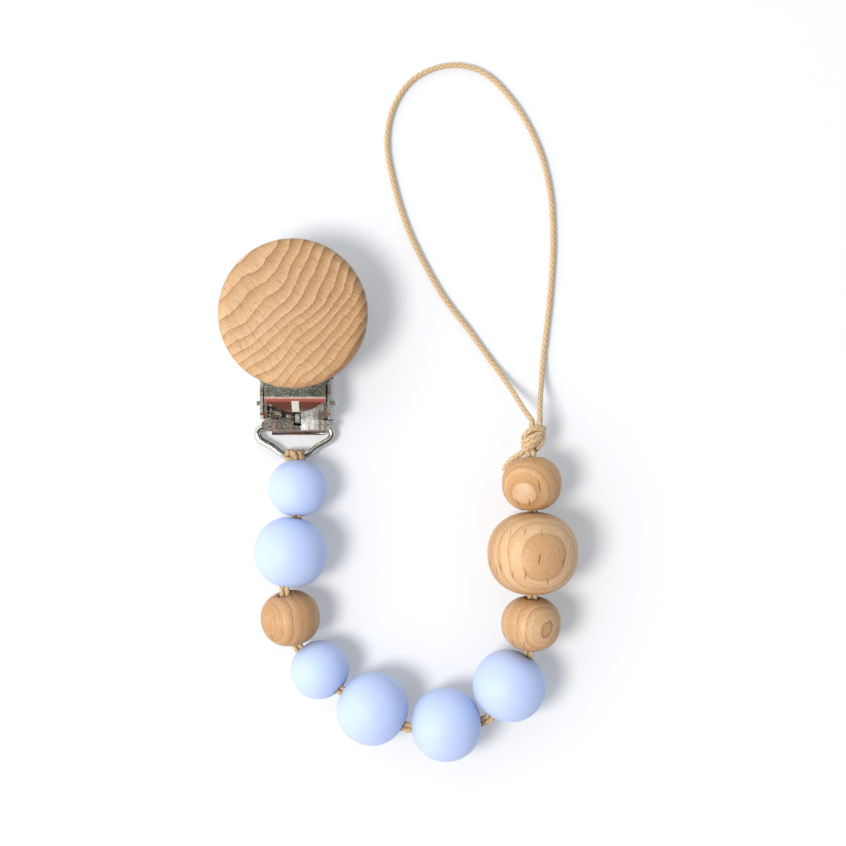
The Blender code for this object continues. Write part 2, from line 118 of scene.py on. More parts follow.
# The cut end, from the knot's side down beside the last bead
TAIL_ROUTE = (
    (0.0476, -0.0086, 0.0072),
    (0.0466, -0.0097, 0.0074),
    (0.0454, -0.01055, 0.0070),
    (0.0443, -0.0113, 0.0066),
    (0.04325, -0.01235, 0.0061),
    (0.0426, -0.0137, 0.0056),
)
# Half of the ring's outline, from the middle of the hem to the middle of its bar, in mm
RING_OUTLINE = (
    (0.0, 0.0),
    (3.5, 0.0),
    (6.1, 0.0),
    (7.35, -0.35),
    (7.75, -1.3),
    (7.25, -2.4),
    (6.1, -3.15),
    (4.5, -4.05),
    (3.1, -5.15),
    (1.9, -5.6),
    (0.0, -5.6),
)


# Node trees


class Graph:
    """Shorthand for a node tree."""

    def __init__(self, tree):
        self.nodes = tree.nodes
        self.links = tree.links

    def put(self, socket, value):
        if isinstance(value, bpy.types.NodeSocket):
            self.links.new(value, socket)
        else:
            socket.default_value = value

    def node(self, kind, **values):
        made = self.nodes.new(kind)
        for key, value in values.items():
            setattr(made, key, value)
        return made

    def math(self, operation, a, b=0.0, clamp=False):
        made = self.node("ShaderNodeMath", operation=operation, use_clamp=clamp)
        self.put(made.inputs[0], a)
        self.put(made.inputs[1], b)
        return made.outputs[0]

    def line(self, value, slope, start):
        """value * slope + start"""
        made = self.node("ShaderNodeMath", operation="MULTIPLY_ADD")
        for socket, given in zip(made.inputs, (value, slope, start)):
            self.put(socket, given)
        return made.outputs[0]

    def split(self, source):
        """A vector's three numbers, by axis."""
        made = self.node("ShaderNodeSeparateXYZ")
        self.put(made.inputs[0], source)
        return {axis: made.outputs[axis] for axis in "XYZ"}

    def joined(self, x, y, z=0.0):
        made = self.node("ShaderNodeCombineXYZ")
        for socket, given in zip(made.inputs, (x, y, z)):
            self.put(socket, given)
        return made.outputs[0]

    def vector(self, operation, a, b=(0, 0, 0)):
        made = self.node("ShaderNodeVectorMath", operation=operation)
        self.put(made.inputs[0], a)
        self.put(made.inputs[1], b)
        return made.outputs["Value" if operation in ("LENGTH", "DOT_PRODUCT") else "Vector"]

    def place(self, kind="Object"):
        return self.node("ShaderNodeTexCoord").outputs[kind]

    def noise(self, source, scale, detail=2.0, roughness=0.5):
        made = self.node("ShaderNodeTexNoise")
        self.put(made.inputs["Vector"], source)
        made.inputs["Scale"].default_value = scale
        made.inputs["Detail"].default_value = detail
        made.inputs["Roughness"].default_value = roughness
        return made.outputs["Fac"]

    def ramp(self, factor, stops):
        made = self.node("ShaderNodeValToRGB")
        elements = made.color_ramp.elements
        while len(elements) > 1:
            elements.remove(elements[-1])
        for k, (position, colour) in enumerate(stops):
            if not isinstance(colour, tuple):
                colour = (colour, colour, colour)
            stop = elements[0] if k == 0 else elements.new(position)
            stop.position = position
            stop.color = (*colour, 1.0)
        self.put(made.inputs[0], factor)
        return made.outputs["Color"]

    def mix(self, factor, a, b, blend="MIX"):
        made = self.node("ShaderNodeMix", data_type="RGBA", blend_type=blend)
        self.put(made.inputs[0], factor)
        for socket, value in ((made.inputs[6], a), (made.inputs[7], b)):
            if isinstance(value, tuple):
                value = (*value, 1.0)
            self.put(socket, value)
        return made.outputs[2]

    def bump(self, height, distance, strength, below=None):
        made = self.node("ShaderNodeBump")
        made.inputs["Strength"].default_value = strength
        made.inputs["Distance"].default_value = distance
        self.put(made.inputs["Height"], height)
        if below is not None:
            self.put(made.inputs["Normal"], below)
        return made.outputs["Normal"]


class MaterialGraph(Graph):
    """A material's node tree, with its shader."""

    def __init__(self, material):
        material.use_nodes = True
        super().__init__(material.node_tree)
        self.material = material
        self.shader = self.nodes["Principled BSDF"]

    def finish(self, colour, roughness, normal=None, metallic=0.0):
        self.put(self.shader.inputs["Base Color"], colour)
        self.put(self.shader.inputs["Roughness"], roughness)
        self.shader.inputs["Metallic"].default_value = metallic
        if normal is not None:
            self.put(self.shader.inputs["Normal"], normal)
        return self.material


def new_material(name):
    return MaterialGraph(bpy.data.materials.new(name))


# Camera, floor and lights


def add_camera():
    data = bpy.data.cameras.new("camera")
    data.lens = CAMERA_LENS
    data.sensor_width = 36.0
    data.clip_start = 0.01
    data.clip_end = 20.0
    camera = bpy.data.objects.new("camera", data)
    bpy.context.scene.collection.objects.link(camera)
    ahead = (CAMERA_AIM - CAMERA_PLACE).normalized()
    right = ahead.cross(Vector((0, 1, 0))).normalized()
    up = right.cross(ahead)
    turn = Matrix((right, up, -ahead)).transposed()
    camera.matrix_world = Matrix.Translation(CAMERA_PLACE) @ turn.to_4x4()
    bpy.context.scene.camera = camera


def add_area_light(name, place, aim, size, power, colour):
    data = bpy.data.lights.new(name, "AREA")
    data.shape = "DISK"
    data.size = size
    data.energy = power
    data.color = colour
    lamp = bpy.data.objects.new(name, data)
    bpy.context.scene.collection.objects.link(lamp)
    lamp.location = place
    lamp.rotation_mode = "QUATERNION"
    lamp.rotation_quaternion = (Vector(aim) - Vector(place)).to_track_quat("-Z", "Y")


def add_world():
    """A pale room, dimmer on its right, with a dark ceiling and a warm card on the -Y side."""
    world = bpy.data.worlds.new("studio")
    bpy.context.scene.world = world
    world.use_nodes = True
    g = Graph(world.node_tree)
    way = g.place("Generated")
    parts = g.split(way)
    stops = (
        (0.0, (0.92, 0.95, 1.0)),
        (0.72, (0.90, 0.94, 1.0)),
        (0.84, (0.62, 0.64, 0.66)),
        (0.93, (0.10, 0.105, 0.095)),
        (1.0, (0.065, 0.07, 0.06)),
    )
    # X runs from -1 on the left to 1 on the right, and a ramp from 0 to 1
    sides = g.line(parts["X"], 0.5, 0.5)
    dim = g.ramp(sides, ((0.35, (1.16, 1.14, 1.12)), (0.95, (0.40, 0.47, 0.56))))
    room = g.mix(1.0, g.ramp(parts["Z"], stops), dim, "MULTIPLY")
    towards = g.vector("DOT_PRODUCT", way, Vector((0.0, -0.90, 0.43)).normalized())
    card = g.ramp(towards, ((0.90, 0.0), (0.93, 1.0)))
    background = g.nodes["Background"]
    background.inputs["Strength"].default_value = WORLD_STRENGTH
    g.put(background.inputs["Color"], g.mix(card, room, (0.30, 0.13, 0.08)))


def add_floor():
    """White paper that glows a little, so that the shadows stay as pale as in the photograph."""
    mesh = bpy.data.meshes.new("floor")
    bm = bmesh.new()
    bmesh.ops.create_grid(bm, x_segments=2, y_segments=2, size=1.5)
    bm.to_mesh(mesh)
    bm.free()
    floor = bpy.data.objects.new("floor", mesh)
    floor.location = (0.02, 0.0, -0.0001)
    bpy.context.scene.collection.objects.link(floor)
    material = bpy.data.materials.new("floor_paper")
    material.use_nodes = True
    shader = material.node_tree.nodes["Principled BSDF"]
    shader.inputs["Base Color"].default_value = (0.52, 0.525, 0.535, 1.0)
    shader.inputs["Emission Color"].default_value = (0.97, 0.99, 1.0, 1.0)
    shader.inputs["Emission Strength"].default_value = 0.19
    shader.inputs["Roughness"].default_value = 0.8
    shader.inputs["Specular IOR Level"].default_value = 0.1
    mesh.materials.append(material)


# Materials


def nickel(name, roughness, speckle, low=(0.62, 0.605, 0.57), high=(0.80, 0.785, 0.755)):
    """Plated steel: cloudy, finely speckled and a little uneven."""
    g = new_material(name)
    place = g.place()
    blotch = g.noise(place, 520, 3.0, 0.6)
    fine = g.noise(place, 2600, 3.0, 0.7)
    tint = g.mix(g.ramp(blotch, ((0.3, 0.0), (0.7, 1.0))), low, high)
    tint = g.mix(g.ramp(fine, ((0.46, 0.0), (0.62, 0.5 * speckle))), tint, (0.97, 0.97, 0.95))
    tint = g.mix(g.ramp(fine, ((0.34, 0.6 * speckle), (0.48, 0.0))), tint, (0.34, 0.33, 0.30))
    level = g.ramp(fine, ((0.25, roughness - 0.03), (0.75, roughness + 0.12 * speckle)))
    waves = g.bump(blotch, 0.012 * MM, 0.25)
    normal = g.bump(fine, 0.004 * MM, 0.6 * speckle, waves)
    return g.finish(tint, level, normal, 1.0)


def recoloured(material):
    """A nickel's graph, its colour so far and the object's own coordinates, to work on further."""
    g = MaterialGraph(material)
    colour = g.shader.inputs["Base Color"].links[0].from_socket
    return g, colour, g.place()


def hemmed_nickel(name):
    """The base's nickel, darker and browner in a rough grainy band at its rolled end."""
    plain = nickel(name, 0.17, 0.45, (0.50, 0.49, 0.45), (0.72, 0.71, 0.68))
    g, colour, place = recoloured(plain)
    # Darker and browner in a grainy band towards the rolled end
    grit = g.noise(place, 1500, 3.0)
    end = g.line(g.line(grit, -1.6 * MM, g.split(place)["Y"]), -400.0, -2.2)
    hem_brown = g.mix(g.noise(place, 2300, 2.0), (0.16, 0.10, 0.07), (0.42, 0.31, 0.25))
    hem_brown_share = g.ramp(end, ((0.0, 0.0), (0.35, 0.9)))
    g.put(g.shader.inputs["Base Color"], g.mix(hem_brown_share, colour, hem_brown))
    return g.material


def lever_nickel_painted_reflections(name):
    """Nickel with painted reflections: darkened to olive as a painted dark reflection, with a
    painted highlight along the bend, a coppery strip that is a painted reflection of the wooden
    disc, and painted brown shade on the lip below it.
    """
    # A darker olive copy of the nickel: painted dark reflection on the lever's flat top
    g, colour, place = recoloured(nickel(name, 0.16, 0.5, (0.20, 0.20, 0.16), (0.32, 0.32, 0.27)))
    parts = g.split(place)
    rough = g.noise(place, 900, 2.0)
    down = g.line(g.line(rough, 0.12 * MM, parts["Y"]), 200.0, 0.5)
    # Painted light down the bend: painted brown shade on the lip, a coppery painted reflection of
    # the disc, then a thin painted highlight
    stops = (
        (0.16, (0.52, 0.45, 0.40)),
        (0.30, (0.30, 0.26, 0.22)),
        (0.555, (0.34, 0.25, 0.21)),
        (0.575, (0.36, 0.12, 0.10)),
        (0.68, (0.44, 0.155, 0.13)),
        (0.735, (0.60, 0.33, 0.29)),
        (0.77, (0.80, 0.78, 0.72)),
        (0.795, (0.36, 0.36, 0.31)),
    )
    lip = g.ramp(down, stops)
    share = g.ramp(down, ((0.775, 1.0), (0.80, 0.0)))
    # The painted reflections and shade go only on the bent front and its lip, not the ears beside
    # them
    middle = g.math("LESS_THAN", g.math("ABSOLUTE", parts["X"]), 6.6 * MM)
    high = g.math("GREATER_THAN", parts["Z"], 6.2 * MM)
    share = g.math("MULTIPLY", g.math("MULTIPLY", share, middle), high)
    g.put(g.shader.inputs["Base Color"], g.mix(share, colour, lip))
    # The painted coppery strip is only half metallic, so that its painted colour shows
    dull = g.ramp(down, ((0.56, 1.0), (0.58, 0.5), (0.73, 0.5), (0.78, 0.9), (0.80, 1.0)))
    plain = g.math("SUBTRACT", 1.0, share)
    g.put(g.shader.inputs["Metallic"], g.line(share, dull, plain))
    return g.material


def pressed_nickel_painted_reflection(name):
    """A pressed sheet: a painted dark reflection with brown streaks left of its keeper slot and on
    its outer wings, frosty right of the slot.
    """
    g, colour, place = recoloured(nickel(name, 0.19, 1.0, (0.50, 0.50, 0.47), (0.74, 0.74, 0.71)))
    drift = g.noise(place, 520, 3.0, 0.6)
    side = g.line(g.line(drift, 0.5 * MM, g.split(place)["X"]), 60.0, 0.5)
    # Painted dark reflection: the colour is pulled almost to black left of the slot and on the
    # outer wings, and left bright just right of the slot
    dull = g.ramp(
        side,
        (
            (0.0, 0.75), (0.10, 0.92), (0.20, 0.72), (0.27, 0.93), (0.40, 0.86), (0.50, 0.92),
            (0.545, 0.85), (0.565, 0.0), (0.74, 0.0), (0.79, 0.55), (0.83, 0.15), (0.93, 0.45),
            (1.0, 0.7),
        ),
    )
    tint = g.mix(dull, colour, (0.085, 0.083, 0.072))
    streak = g.noise(g.vector("MULTIPLY", place, (1, 0.10, 1)), 1000, 2.0, 0.6)
    tint = g.mix(g.ramp(streak, ((0.50, 0.0), (0.60, 0.6))), tint, (0.23, 0.14, 0.10))
    g.put(g.shader.inputs["Base Color"], tint)
    # The frosty half scatters the light that falls on it
    frost = g.ramp(side, ((0.545, 1.0), (0.57, 0.50), (0.74, 0.50), (0.80, 0.85), (1.0, 1.0)))
    g.put(g.shader.inputs["Metallic"], frost)
    return g.material


def drawn_nickel_painted_light(name):
    """Drawn wire with painted light: a painted highlight along its shoulders, painted darker shade
    on top, and painted shade on its sides and underneath.
    """
    g, colour, place = recoloured(nickel(name, 0.14, 0.3))
    # Painted light and shade, set by which way the surface faces
    wander = g.line(g.noise(place, 260, 2.0), 0.14, -0.07)
    rise = g.math("ADD", g.split(g.place("Normal"))["Z"], wander)
    stops = (
        (0.0, (0.10, 0.08, 0.06)),
        (0.38, (0.17, 0.145, 0.115)),
        (0.52, (0.30, 0.275, 0.235)),
        (0.64, (0.80, 0.79, 0.75)),
        (0.76, (0.88, 0.87, 0.84)),
        (0.86, (0.36, 0.34, 0.295)),
        (1.0, (0.30, 0.28, 0.24)),
    )
    g.put(g.shader.inputs["Base Color"], g.mix(0.88, colour, g.ramp(rise, stops)))
    return g.material


def silicone(name):
    """Matt, pale blue and softly translucent, with a fine dusty grain."""
    g = new_material(name)
    place = g.place()
    cloud = g.noise(place, 160, 2.0, 0.5)
    tint = g.mix(cloud, (0.402, 0.482, 0.705), (0.427, 0.507, 0.73))
    grain = g.noise(place, 9000, 1.0, 0.5)
    dust = g.ramp(g.noise(place, 1500, 3.0, 0.7), ((0.0, 0.46), (1.0, 0.62)))
    normal = g.bump(grain, 0.01 * MM, 0.25)
    material = g.finish(tint, dust, normal)
    g.shader.inputs["Subsurface Weight"].default_value = 0.5
    g.shader.inputs["Subsurface Radius"].default_value = (0.6, 1.2, 1.3)
    g.shader.inputs["Subsurface Scale"].default_value = 2.2 * MM
    g.shader.inputs["Specular IOR Level"].default_value = 0.4
    return material


# Beech, from its palest wood to its pores
BEECH_PALE = (0.60, 0.395, 0.215)
BEECH_MID = (0.535, 0.325, 0.160)
BEECH_WARM = (0.47, 0.265, 0.115)
BEECH_DEEP = (0.385, 0.195, 0.075)
BEECH_LINE = (0.26, 0.120, 0.045)
BEECH_PORE = (0.105, 0.042, 0.016)


def wood_grain(g, local, tint, radius, pore_share, slant):
    """Fine fibre, stipple and short dark pores, all running along the piece's Y.

    pore_share is the part of the cells that hold a pore, and slant how far the pores lean.
    Gives back the colour, the normal and the roughness.
    """
    drift = g.noise(local, 260, 2.0, 0.5)
    parts = g.split(local)
    warped = g.joined(g.line(drift, 2.4 * MM, parts["X"]), parts["Y"], parts["Z"])
    fibre = g.noise(g.vector("MULTIPLY", warped, (1, 0.11, 1)), 5200, 3.0, 0.65)
    tint = g.mix(g.ramp(fibre, ((0.44, 0.0), (0.68, 0.42))), tint, BEECH_DEEP)
    tint = g.mix(g.ramp(fibre, ((0.30, 0.30), (0.46, 0.0))), tint, (0.63, 0.44, 0.27))
    dots = g.noise(warped, 5200, 2.0, 0.6)
    tint = g.mix(g.ramp(dots, ((0.53, 0.0), (0.68, 0.42))), tint, (0.30, 0.15, 0.06))
    tint = g.mix(g.ramp(dots, ((0.32, 0.35), (0.46, 0.0))), tint, (0.66, 0.47, 0.30))
    # The pores are cells of a flat pattern that is wrapped round the piece
    turn = g.math("MULTIPLY", g.math("ARCTAN2", parts["X"], parts["Z"]), radius)
    turn = g.line(drift, 2.0 * MM, g.line(parts["Y"], slant, turn))
    strokes = g.node("ShaderNodeTexVoronoi", feature="F1", voronoi_dimensions="2D")
    g.put(strokes.inputs["Vector"], g.joined(turn, g.math("MULTIPLY", parts["Y"], 0.13)))
    strokes.inputs["Scale"].default_value = 740
    bits = g.node("ShaderNodeSeparateColor")
    g.put(bits.inputs[0], strokes.outputs["Color"])
    chosen = g.math("LESS_THAN", bits.outputs[0], pore_share)
    size = g.line(bits.outputs[1], 0.9, 0.55)
    ragged = g.line(dots, 0.05, -0.025)
    reach = g.math("DIVIDE", g.math("ADD", strokes.outputs["Distance"], ragged), size)
    inside = g.ramp(reach, ((0.0, 1.0), (0.05, 0.85), (0.092, 0.0)))
    pores = g.math("MULTIPLY", g.math("MULTIPLY", inside, chosen), size, clamp=True)
    tint = g.mix(g.math("MULTIPLY", pores, 0.82), tint, BEECH_PORE)
    height = g.math("SUBTRACT", g.math("MULTIPLY", fibre, 0.35), pores)
    normal = g.bump(height, 0.05 * MM, 0.6)
    roughness = g.ramp(fibre, ((0.0, 0.40), (1.0, 0.58)))
    return tint, normal, roughness


def beech_bead(
    name, centre, radius, towards, depth, stretch, span, stops, wobble, share, shade, slant=0.0
):
    """Turned beech: growth rings as long shells round a point inside the tree.

    towards is the way to that point from the bead's centre and depth its distance; the
    stops colour one span of the shells, in millimetres from the nearest one.
    """
    g = new_material(name)
    local = g.vector("SUBTRACT", g.place(), tuple(centre))
    way = Vector(towards).normalized()
    heart = way * depth
    broad = g.noise(local, 150, 1.0, 0.5)
    jitter = g.noise(local, 1150, 2.0, 0.6)
    from_heart = g.vector("SUBTRACT", local, tuple(heart))
    from_heart = g.vector("MULTIPLY", from_heart, (1.0, stretch, 1.0))
    distance = g.line(broad, wobble * MM, g.vector("LENGTH", from_heart))
    distance = g.line(jitter, 0.18 * MM, distance)
    shrink = Vector((way.x, way.y * stretch, way.z)).length
    nearest = (depth - radius) * shrink + (0.5 * wobble - 0.03) * MM
    near = g.math("SUBTRACT", distance, nearest)
    turns = g.math("FRACT", g.math("MULTIPLY", near, 1.0 / (span * MM)))
    tint = g.ramp(turns, [(position / span, colour) for position, colour in stops])
    cloud = g.noise(local, 240, 3.0, 0.6)
    tint = g.mix(g.ramp(cloud, ((0.42, 0.0), (0.78, 0.55))), tint, BEECH_WARM)
    tint, normal, roughness = wood_grain(g, local, tint, radius, share, slant)
    tint = g.mix(1.0, tint, shade, "MULTIPLY")
    material = g.finish(tint, roughness, normal)
    g.shader.inputs["Specular IOR Level"].default_value = 0.35
    return material


def beech_disc(name, centre):
    """End grain: wavy rings round a pith beyond the disc's edge, crossed by fine rays."""
    g = new_material(name)
    local = g.vector("SUBTRACT", g.place(), tuple(centre))
    flat = g.vector("MULTIPLY", local, (1.0, 1.0, 0.25))
    broad = g.noise(flat, 85, 1.0, 0.5)
    middling = g.noise(flat, 330, 2.0, 0.55)
    small = g.noise(flat, 1300, 2.0, 0.6)
    pith = g.vector("SUBTRACT", flat, (-0.031, 0.028, 0.0))
    away = g.vector("LENGTH", pith)
    # The rings crowd together away from the pith
    beyond = g.math("SUBTRACT", away, 26.0 * MM)
    rings = g.math("MULTIPLY", beyond, 300.0)
    rings = g.line(g.math("MULTIPLY", beyond, beyond), 5200.0, rings)
    for waver, amount in ((broad, 2.2), (middling, 0.42), (small, 0.10)):
        rings = g.line(waver, amount, rings)
    step = g.math("FRACT", rings)
    soft = g.ramp(
        step,
        (
            (0.0, (0.225, 0.108, 0.042)),
            (0.035, (0.36, 0.200, 0.088)),
            (0.14, (0.455, 0.270, 0.128)),
            (0.42, (0.51, 0.325, 0.168)),
            (0.80, (0.545, 0.360, 0.198)),
            (0.965, (0.545, 0.360, 0.198)),
            (1.0, (0.26, 0.128, 0.051)),
        ),
    )
    strong = g.ramp(
        step,
        (
            (0.0, (0.125, 0.055, 0.020)),
            (0.05, (0.215, 0.108, 0.043)),
            (0.22, (0.29, 0.158, 0.068)),
            (0.50, (0.40, 0.235, 0.110)),
            (0.85, (0.53, 0.345, 0.180)),
            (0.965, (0.53, 0.345, 0.180)),
            (1.0, (0.16, 0.072, 0.027)),
        ),
    )
    # The lines are stronger towards the upper right
    upper = g.line(broad, 5.0 * MM, g.vector("DOT_PRODUCT", local, (0.8, 0.6, 0.0)))
    upper = g.line(upper, 50.0, 0.30)
    tint = g.mix(g.ramp(upper, ((0.15, 0.15), (0.85, 1.0))), soft, strong)
    # Darker and browner towards the right, partly the wood's own tone and partly painted shade on
    # the side away from the light, and warmer at the bottom
    parts = g.split(local)
    right = g.line(parts["X"], 30.0, 0.42)
    tint = g.mix(g.ramp(right, ((0.25, 0.0), (0.85, 0.85))), tint, (0.79, 0.745, 0.69), "MULTIPLY")
    bottom = g.line(parts["Y"], -40.0, 0.1)
    tint = g.mix(g.ramp(bottom, ((0.2, 0.0), (0.7, 0.7))), tint, (1.0, 0.93, 0.82), "MULTIPLY")
    cloud = g.noise(flat, 130, 2.0, 0.5)
    tint = g.mix(g.ramp(cloud, ((0.42, 0.0), (0.75, 0.40))), tint, (0.44, 0.235, 0.092))
    # Rays: thin lines that cross the rings
    around = g.split(pith)
    angle = g.line(middling, 0.010, g.math("ARCTAN2", around["Y"], around["X"]))
    polar = g.joined(g.math("MULTIPLY", angle, 85.0), g.math("MULTIPLY", away, 110.0))
    rays = g.noise(polar, 2.6, 2.0, 0.6)
    tint = g.mix(g.ramp(rays, ((0.585, 0.0), (0.63, 0.18))), tint, (0.62, 0.435, 0.26))
    tint = g.mix(g.ramp(rays, ((0.365, 0.65), (0.405, 0.0))), tint, (0.27, 0.130, 0.052))
    wide = g.joined(g.math("MULTIPLY", angle, 30.0), g.math("MULTIPLY", away, 60.0))
    ridge = g.math("ABSOLUTE", g.math("SUBTRACT", g.noise(wide, 2.6, 1.0), 0.5))
    tint = g.mix(g.ramp(ridge, ((0.005, 0.60), (0.022, 0.0))), tint, (0.27, 0.135, 0.055))
    # Stipple of cut pores
    dots = g.noise(flat, 5600, 3.0, 0.7)
    tint = g.mix(g.ramp(dots, ((0.50, 0.0), (0.66, 0.46))), tint, (0.26, 0.125, 0.050))
    tint = g.mix(g.ramp(dots, ((0.34, 0.36), (0.47, 0.0))), tint, (0.66, 0.47, 0.29))
    height = g.math("SUBTRACT", g.math("MULTIPLY", rays, 0.4), g.math("MULTIPLY", dots, 0.8))
    normal = g.bump(height, 0.03 * MM, 0.5)
    material = g.finish(tint, g.ramp(dots, ((0.0, 0.48), (1.0, 0.66))), normal)
    g.shader.inputs["Specular IOR Level"].default_value = 0.3
    return material


def braided_cotton(name):
    """Waxed cotton: painted shade in the braid's valleys and a painted highlight on its plaits,
    read from the tube's own map.
    """
    g = new_material(name)
    height = g.split(g.node("ShaderNodeUVMap", uv_map="braid").outputs[0])["X"]
    place = g.place()
    cloud = g.noise(place, 420, 3.0, 0.6)
    threads = g.noise(place, 5200, 3.0, 0.7)
    tint = g.mix(cloud, (0.50, 0.335, 0.165), (0.57, 0.425, 0.245))
    # Painted shade in the valleys between the plaits
    tint = g.mix(g.ramp(height, ((0.15, 0.80), (0.55, 0.0))), tint, (0.30, 0.165, 0.065))
    # Painted highlight on the plaits' crests
    tint = g.mix(g.ramp(height, ((0.70, 0.0), (1.0, 0.50))), tint, (0.68, 0.565, 0.41))
    tint = g.mix(g.ramp(threads, ((0.45, 0.0), (0.75, 0.4))), tint, (0.40, 0.25, 0.115))
    normal = g.bump(threads, 0.05 * MM, 0.6)
    material = g.finish(tint, g.ramp(threads, ((0.0, 0.42), (1.0, 0.72))), normal)
    g.shader.inputs["Sheen Weight"].default_value = 0.25
    g.shader.inputs["Specular IOR Level"].default_value = 0.4
    return material


def milky_plastic(name, low=(0.46, 0.45, 0.385), high=(0.52, 0.505, 0.435)):
    """Moulded plastic, faintly cloudy."""
    g = new_material(name)
    place = g.place()
    cloud = g.noise(place, 300, 2.0, 0.5)
    fine = g.noise(place, 4000, 2.0, 0.5)
    tint = g.mix(cloud, low, high)
    normal = g.bump(fine, 0.01 * MM, 0.4)
    return g.finish(tint, g.ramp(fine, ((0.0, 0.36), (1.0, 0.5))), normal)


# Meshes


def add_piece(name, bm, material, body):
    for face in bm.faces:
        face.smooth = True
    mesh = bpy.data.meshes.new(name)
    bm.to_mesh(mesh)
    bm.free()
    mesh.materials.append(material)
    piece = bpy.data.objects.new(name, mesh)
    bpy.context.scene.collection.objects.link(piece)
    if body:
        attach(piece, body)
    return piece


def smooth_route(points, spacing, cyclic=False):
    """Evenly spaced points on a smooth curve through the given ones."""
    points = [Vector(place) for place in points]
    count = len(points)
    dense = []
    spans = count if cyclic else count - 1
    for k in range(spans):
        b, c = points[k], points[(k + 1) % count]
        a = points[k - 1] if cyclic or k > 0 else b * 2 - c
        d = points[(k + 2) % count] if cyclic or k + 2 < count else c * 2 - b
        for step in range(24):
            t = step / 24
            linear = 2 * b + (c - a) * t
            square = (2 * a - 5 * b + 4 * c - d) * t**2
            cubic = (3 * b - a - 3 * c + d) * t**3
            dense.append(0.5 * (linear + square + cubic))
    dense.append(points[0] if cyclic else points[-1])
    lengths = [0.0]
    for first, second in zip(dense, dense[1:]):
        lengths.append(lengths[-1] + (second - first).length)
    pieces = max(2, round(lengths[-1] / spacing))
    found, k = [], 0
    for step in range(pieces + (0 if cyclic else 1)):
        distance = lengths[-1] * step / pieces
        while k < len(lengths) - 2 and lengths[k + 1] < distance:
            k += 1
        share = (distance - lengths[k]) / max(lengths[k + 1] - lengths[k], 1e-12)
        found.append(dense[k].lerp(dense[k + 1], share))
    return found


def frames_along(points, cyclic=False):
    """Each point's side and upward directions, carried along without twisting."""
    count = len(points)
    ahead = []
    for k in range(count):
        first = points[k - 1] if cyclic or k > 0 else points[0]
        second = points[(k + 1) % count] if cyclic or k + 1 < count else points[-1]
        ahead.append((second - first).normalized())
    up = Vector((0, 0, 1))
    if abs(ahead[0].z) > 0.9:
        up = Vector((0, 1, 0))
    side = ahead[0].cross(up).normalized()
    frames = []
    for direction in ahead:
        side = (side - direction * side.dot(direction)).normalized()
        frames.append((side, side.cross(direction)))
    return frames


def braid_height(angle, distance):
    """0 in a valley to 1 on a plait: columns of slanted stitches that lean alternately."""
    across = angle / math.tau * BRAID_COLUMNS
    column = math.floor(across)
    share = across - column
    lean = 1 if column % 2 else -1
    turns = distance / BRAID_PITCH + lean * 0.42 * (share - 0.5)
    wave = math.cos(math.tau * turns + column * math.pi)
    return (0.5 + 0.5 * wave) ** 0.6 * (0.35 + 0.65 * math.sin(math.pi * share) ** 0.6)


def add_cord(bm, points, radius, sides, cyclic=False, start=0.0, flat=1.0):
    """A braided tube along the points, with its relief kept in its map's first number.

    start shifts the braid along the tube, and flat squeezes the tube's upward side.
    """
    layer = bm.loops.layers.uv.get("braid") or bm.loops.layers.uv.new("braid")
    frames = frames_along(points, cyclic)
    rings, heights, distance = [], [], start
    for k, (place, (side, up)) in enumerate(zip(points, frames)):
        if k:
            distance += (place - points[k - 1]).length
        ring, levels = [], []
        for step in range(sides):
            angle = math.tau * step / sides
            level = braid_height(angle, distance)
            reach = radius * (1.0 - BRAID_RELIEF * (1.0 - level))
            out = side * math.cos(angle) + up * math.sin(angle) * flat
            ring.append(bm.verts.new(place + out * reach))
            levels.append((level, distance))
        rings.append(ring)
        heights.append(levels)
    count = len(rings)
    for k in range(count if cyclic else count - 1):
        nxt = (k + 1) % count
        for step in range(sides):
            other = (step + 1) % sides
            corners = ((k, step), (k, other), (nxt, other), (nxt, step))
            face = bm.faces.new([rings[a][b] for a, b in corners])
            for loop, (a, b) in zip(face.loops, corners):
                loop[layer].uv = heights[a][b]
    if not cyclic:
        for ring, levels in ((rings[0], heights[0]), (rings[-1][::-1], heights[-1])):
            for loop in bm.faces.new(ring).loops:
                loop[layer].uv = (0.4, levels[0][1])
    bmesh.ops.recalc_face_normals(bm, faces=bm.faces)


def bridge(bm, first, second):
    """Faces between two rings of as many points each."""
    count = len(first)
    for k in range(count):
        other = (k + 1) % count
        bm.faces.new((first[k], first[other], second[other], second[k]))


def turned_mesh(profile, steps, place, closed=False):
    """Turns (radius, height) points round local Z and puts the result at the matrix place."""
    bm = bmesh.new()
    rings = []
    for radius, height in profile:
        if radius < 1e-7:
            rings.append([bm.verts.new((0, 0, height))])
            continue
        angles = [math.tau * k / steps for k in range(steps)]
        places = [(radius * math.cos(a), radius * math.sin(a), height) for a in angles]
        rings.append([bm.verts.new(corner) for corner in places])
    pairs = list(zip(rings, rings[1:]))
    if closed:
        pairs.append((rings[-1], rings[0]))
    for first, second in pairs:
        for k in range(steps):
            other = (k + 1) % steps
            corners = [first[k % len(first)], first[other % len(first)]]
            corners += [second[other % len(second)], second[k % len(second)]]
            unique = list(dict.fromkeys(corners))
            if len(unique) > 2:
                bm.faces.new(unique)
    bmesh.ops.recalc_face_normals(bm, faces=bm.faces)
    bmesh.ops.transform(bm, matrix=place, verts=bm.verts)
    return bm


def arc(centre, radius, first, last, count):
    """Points on an arc, with its ends in degrees."""
    angles = [math.radians(first + (last - first) * k / count) for k in range(count + 1)]
    return [(centre[0] + radius * math.cos(a), centre[1] + radius * math.sin(a)) for a in angles]


def along(direction):
    """The turn that takes local Z to a direction."""
    return Vector(direction).to_track_quat("Z", "Y").to_matrix().to_4x4()


# String


